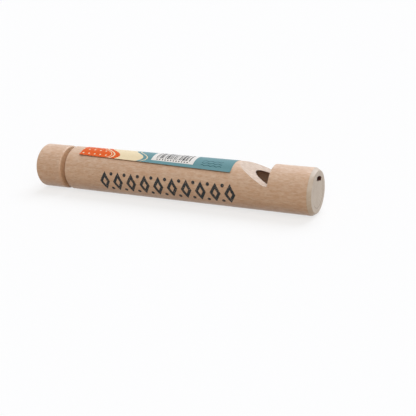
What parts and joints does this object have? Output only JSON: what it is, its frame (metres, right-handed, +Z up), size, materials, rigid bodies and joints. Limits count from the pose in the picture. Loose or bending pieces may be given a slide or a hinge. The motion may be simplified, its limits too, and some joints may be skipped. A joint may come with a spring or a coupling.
{
  "type": "slide whistle",
  "caption": "Wooden slide whistle: a turned tube with a slanted window and a mouth plug, a printed paper label, and a plunger whose round handle slides out to change the note.",
  "frame": {"origin": "under the middle of the closed whistle, on the surface that it lies on", "axes": "+X along the tube axis towards the mouth end, +Z up through the window, the handle at -X"},
  "size_m": [0.1934, 0.0286, 0.0287],
  "materials": {
    "tube_wood": "bare sanded beech, satin",
    "plug_wood": "bare sanded, end grain showing",
    "rod_wood": "bare sanded dowel",
    "handle_wood": "bare sanded beech, satin",
    "felt": "dense wool felt",
    "steel": "zinc-plated steel",
    "printed_paper": "semi-gloss printed paper"
  },
  "bodies": {
    "whistle": {"body_tube": "tube_wood", "mouth_plug": "plug_wood", "tail_bushing": "plug_wood", "paper_label": "printed_paper"},
    "seal_ring": {"piston_seal": "felt"},
    "plunger": {"slide_rod": "rod_wood", "handle": "handle_wood", "piston_disc": "plug_wood", "piston_washer": "steel", "piston_screw": "steel"}
  },
  "joints": [
    {"name": "slide", "type": "slide", "parent": "whistle", "child": "seal_ring", "axis": [-1, 0, 0], "range_m": [-0.0035, 0.101]},
    {"name": "twist", "type": "hinge", "parent": "seal_ring", "child": "plunger", "pos_m": [0.0487, 0, 0.0143], "axis": [1, 0, 0], "continuous": true}
  ]
}
